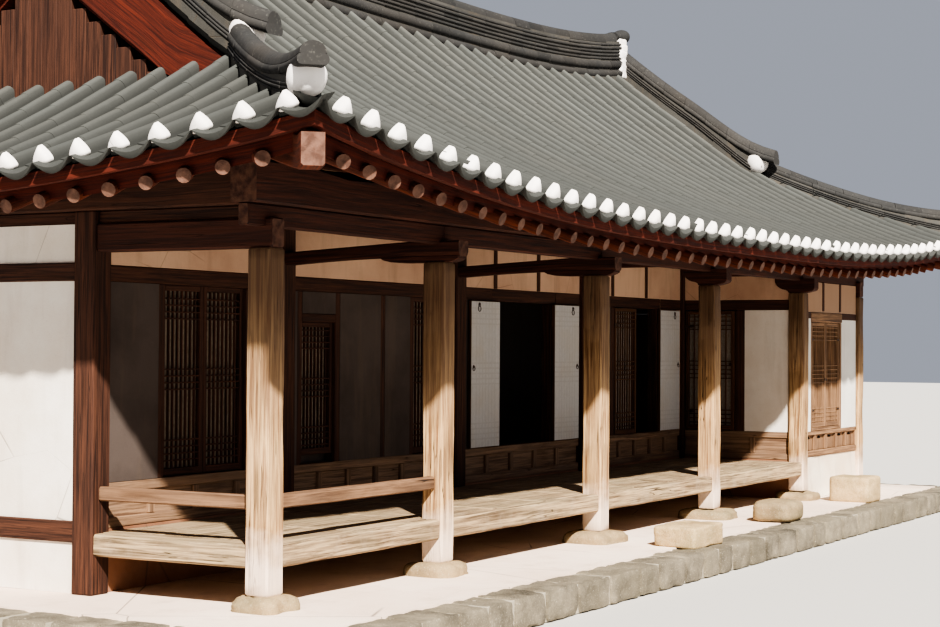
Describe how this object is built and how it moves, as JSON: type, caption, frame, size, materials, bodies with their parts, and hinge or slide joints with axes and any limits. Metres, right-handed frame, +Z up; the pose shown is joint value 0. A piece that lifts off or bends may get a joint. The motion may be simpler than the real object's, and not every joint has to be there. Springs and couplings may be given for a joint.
{
  "type": "hanok house",
  "caption": "Traditional timber house with a curved hip-and-gable tile roof, an open veranda with hinged papered doors, and a closed plastered end bay.",
  "frame": {"origin": "middle of the house at the bottom of its plinth, under the middle of the roof", "axes": "+Z up, -Y towards the front with the veranda, +X along the ridge towards the closed front room"},
  "size_m": [15.23, 8.23, 6.1104],
  "materials": {
    "roof_tile": "weathered grey fired clay",
    "dark_timber": "matt, dark brown stain",
    "column_timber": "weathered, matt",
    "floor_boards": "worn and greyed",
    "papered_lattice": "matt paper over a timber lattice",
    "lime_plaster": "matt lime plaster",
    "floor_cement": "matt",
    "stone": "rough hewn"
  },
  "bodies": {
    "house": {"bay1_frame": "dark_timber", "bay2_frame": "dark_timber", "bay3_door_frame": "dark_timber", "bay4_door_frame": "dark_timber", "bay5_dado": "dark_timber", "bay5_foundation": "lime_plaster", "bay5_wall": "lime_plaster", "bay5_window": "papered_lattice", "front_beams": "dark_timber", "front_column_1": "column_timber", "front_column_2": "column_timber", "front_column_3": "column_timber", "front_column_4": "column_timber", "front_column_5": "column_timber", "front_column_6": "column_timber", "gable_left": "dark_timber", "gable_right": "dark_timber", "inner_column_2": "column_timber", "inner_column_3": "column_timber", "inner_column_4": "column_timber", "inner_column_5": "column_timber", "inner_dado": "dark_timber", "inner_purlin": "dark_timber", "inner_wall_left": "lime_plaster", "inner_wall_middle": "lime_plaster", "inner_wall_right": "lime_plaster", "inner_wall_top": "lime_plaster", "left_frame": "dark_timber", "left_wall": "lime_plaster", "plinth": "stone", "rafters_front": "dark_timber", "rafters_left": "dark_timber", "rafters_rear": "dark_timber", "rafters_right": "dark_timber", "rail_front": "floor_boards", "rail_left": "floor_boards", "rear_frame": "dark_timber", "rear_wall": "lime_plaster", "right_frame": "dark_timber", "right_wall": "lime_plaster", "roof_front": "roof_tile", "roof_left": "roof_tile", "roof_rear": "roof_tile", "roof_ridges": "roof_tile", "roof_right": "roof_tile", "room_floor": "floor_cement", "side_dado": "dark_timber", "side_door_frame": "dark_timber", "side_wall_panel": "lime_plaster", "side_wall_top": "lime_plaster", "step_stone_left": "stone", "step_stone_middle": "stone", "step_stone_right": "stone", "veranda_floor": "floor_boards"},
    "bay3_door_left": {"bay3_door_left": "papered_lattice"},
    "bay3_door_right": {"bay3_door_right": "papered_lattice"},
    "bay4_door_left": {"bay4_door_left": "papered_lattice"},
    "bay4_door_right": {"bay4_door_right": "papered_lattice"},
    "side_door": {"side_door": "papered_lattice"}
  },
  "joints": [
    {"name": "bay3_door_left_hinge", "type": "hinge", "parent": "house", "child": "bay3_door_left", "pos_m": [-0.465, -1.358, 1.7275], "axis": [0, 0, 1], "range_deg": [0, 180]},
    {"name": "bay3_door_right_hinge", "type": "hinge", "parent": "house", "child": "bay3_door_right", "pos_m": [0.705, -1.358, 1.7275], "axis": [0, 0, -1], "range_deg": [0, 180]},
    {"name": "bay4_door_left_hinge", "type": "hinge", "parent": "house", "child": "bay4_door_left", "pos_m": [2.255, -1.358, 1.7275], "axis": [0, 0, -1], "range_deg": [0, 180]},
    {"name": "bay4_door_right_hinge", "type": "hinge", "parent": "house", "child": "bay4_door_right", "pos_m": [3.425, -1.358, 1.7275], "axis": [0, 0, -1], "range_deg": [0, 180]},
    {"name": "side_door_hinge", "type": "hinge", "parent": "house", "child": "side_door", "pos_m": [4.152, -1.402, 1.7275], "axis": [0, 0, -1], "range_deg": [0, 90]}
  ]
}
